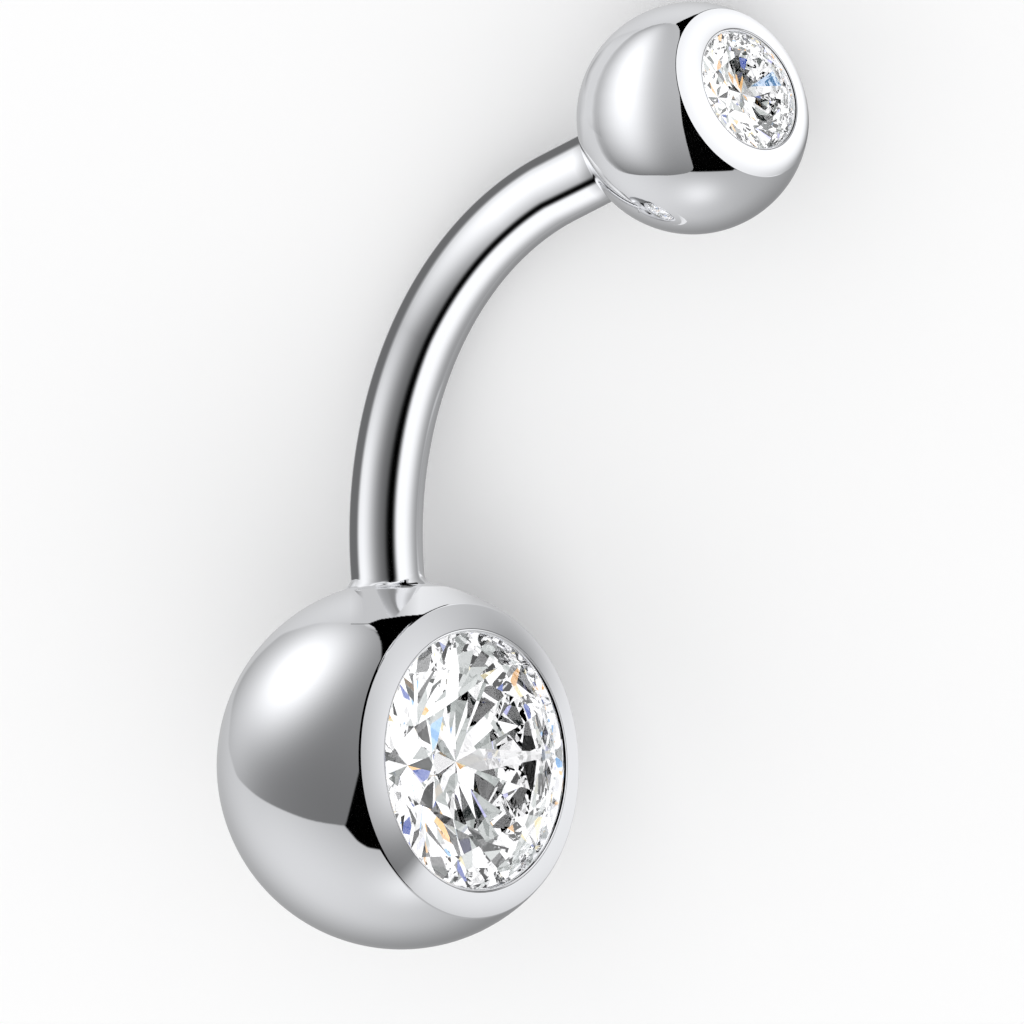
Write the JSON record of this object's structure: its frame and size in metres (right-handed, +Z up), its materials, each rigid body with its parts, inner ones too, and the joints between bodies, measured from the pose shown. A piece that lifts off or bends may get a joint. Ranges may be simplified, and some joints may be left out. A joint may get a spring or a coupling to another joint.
{
  "type": "curved barbell navel ring",
  "caption": "Bent polished bar with a large stone-set ball soldered to its lower end and a small stone-set ball that screws off its top end.",
  "frame": {"origin": "On the surface that the ring lies on, below the middle of its box.", "axes": "+Z up from the surface, +X from the lower ball towards the top ball, +Y towards the back of the bend. It lies on its side, on both balls and the back of the bend."},
  "size_m": [0.0232, 0.0082, 0.008],
  "materials": {
    "polished_steel": "mirror_polished",
    "clear_stone": "faceted_clear"
  },
  "bodies": {
    "bar": {"bar_with_lower_ball": "polished_steel", "lower_stone": "clear_stone"},
    "screw_ball": {"top_ball": "polished_steel", "top_stone": "clear_stone"}
  },
  "joints": [
    {"name": "top_ball_off", "type": "slide", "parent": "bar", "child": "screw_ball", "axis": [0.8329, -0.4844, 0.2676], "range_m": [0, 0.0027]}
  ]
}
